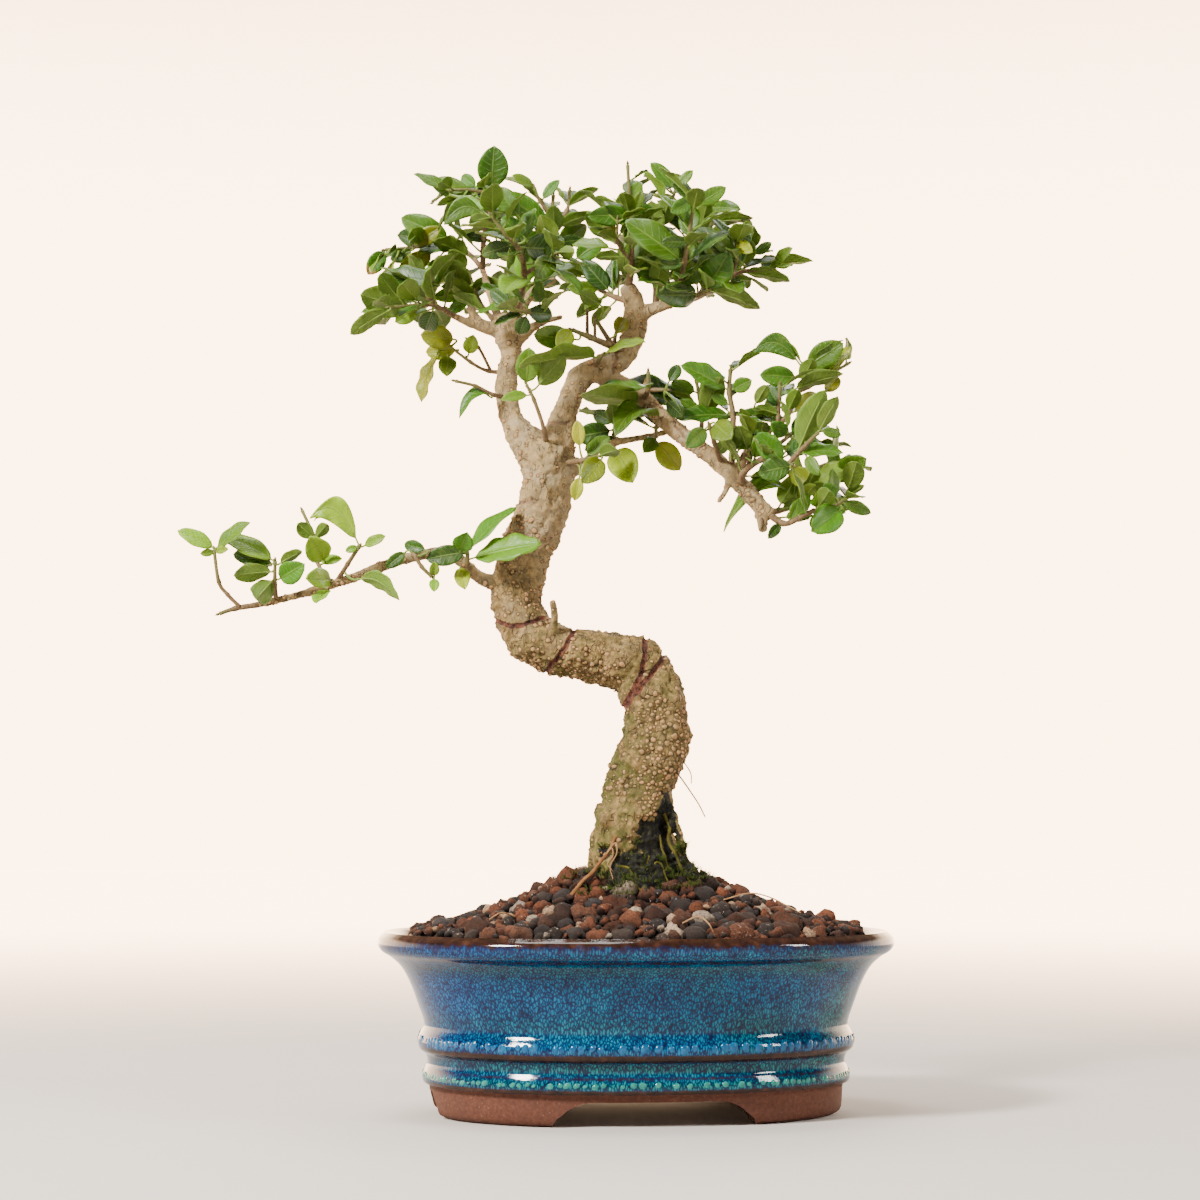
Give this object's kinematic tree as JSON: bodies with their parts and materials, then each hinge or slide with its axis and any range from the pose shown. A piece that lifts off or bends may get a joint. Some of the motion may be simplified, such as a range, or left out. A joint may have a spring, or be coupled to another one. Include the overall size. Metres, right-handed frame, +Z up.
{
  "type": "chinese privet bonsai in a pot",
  "caption": "Small bonsai tree with an S-curved trunk, two leaders and sparse glossy oval leaves, standing in an oval glazed pot with feet.",
  "frame": {"origin": "middle of the whole bounding box, on the surface that the pot's feet stand on", "axes": "+Z up, X along the pot's long axis, -Y towards the front"},
  "size_m": [0.2782, 0.156, 0.3768],
  "materials": {
    "glaze": "glossy mottled blue glaze over terracotta",
    "soil": "coarse grains",
    "bark": "smooth bark with lenticels",
    "leaf": "glossy leaf"
  },
  "bodies": {
    "root": {"pot": "glaze", "soil": "soil", "wood": "bark", "spray_left_tip": "leaf", "spray_left_second": "leaf", "spray_left_third": "leaf", "spray_left_arched": "leaf", "spray_left_under": "leaf", "spray_left_root": "leaf", "spray_pad_crest": "leaf", "spray_pad_upright": "leaf", "spray_pad_vertical": "leaf", "spray_pad_front": "leaf", "spray_pad_inner": "leaf", "spray_pad_dark": "leaf", "spray_pad_knob": "leaf", "spray_pad_top": "leaf", "spray_pad_fan": "leaf", "spray_pad_end": "leaf", "spray_pad_back_end": "leaf", "spray_top_left_reach": "leaf", "spray_top_left_low": "leaf", "spray_top_left_outer": "leaf", "spray_top_left_crown": "leaf", "spray_top_left_front": "leaf", "spray_top_left_behind": "leaf", "spray_top_left_inner": "leaf", "spray_fork_twig": "leaf", "spray_leader_wisp": "leaf", "spray_leader_stalks": "leaf", "spray_elbow_shoot": "leaf", "spray_leader_brown": "leaf", "spray_top_mid_upright": "leaf", "spray_top_mid_low": "leaf", "spray_top_right_lean": "leaf", "spray_top_right_front": "leaf", "spray_top_right_mid": "leaf", "spray_top_right_twig": "leaf", "spray_top_right_tip": "leaf", "spray_top_right_low": "leaf", "spray_left_second_far": "leaf", "spray_left_arched_far": "leaf", "spray_pad_crest_far": "leaf", "spray_pad_fan_far": "leaf", "spray_pad_end_far": "leaf", "spray_top_left_reach_far": "leaf", "spray_top_left_front_far": "leaf", "spray_top_mid_upright_far": "leaf", "spray_top_right_front_far": "leaf", "spray_top_right_twig_far": "leaf", "spray_top_right_low_far": "leaf"}
  },
  "joints": []
}
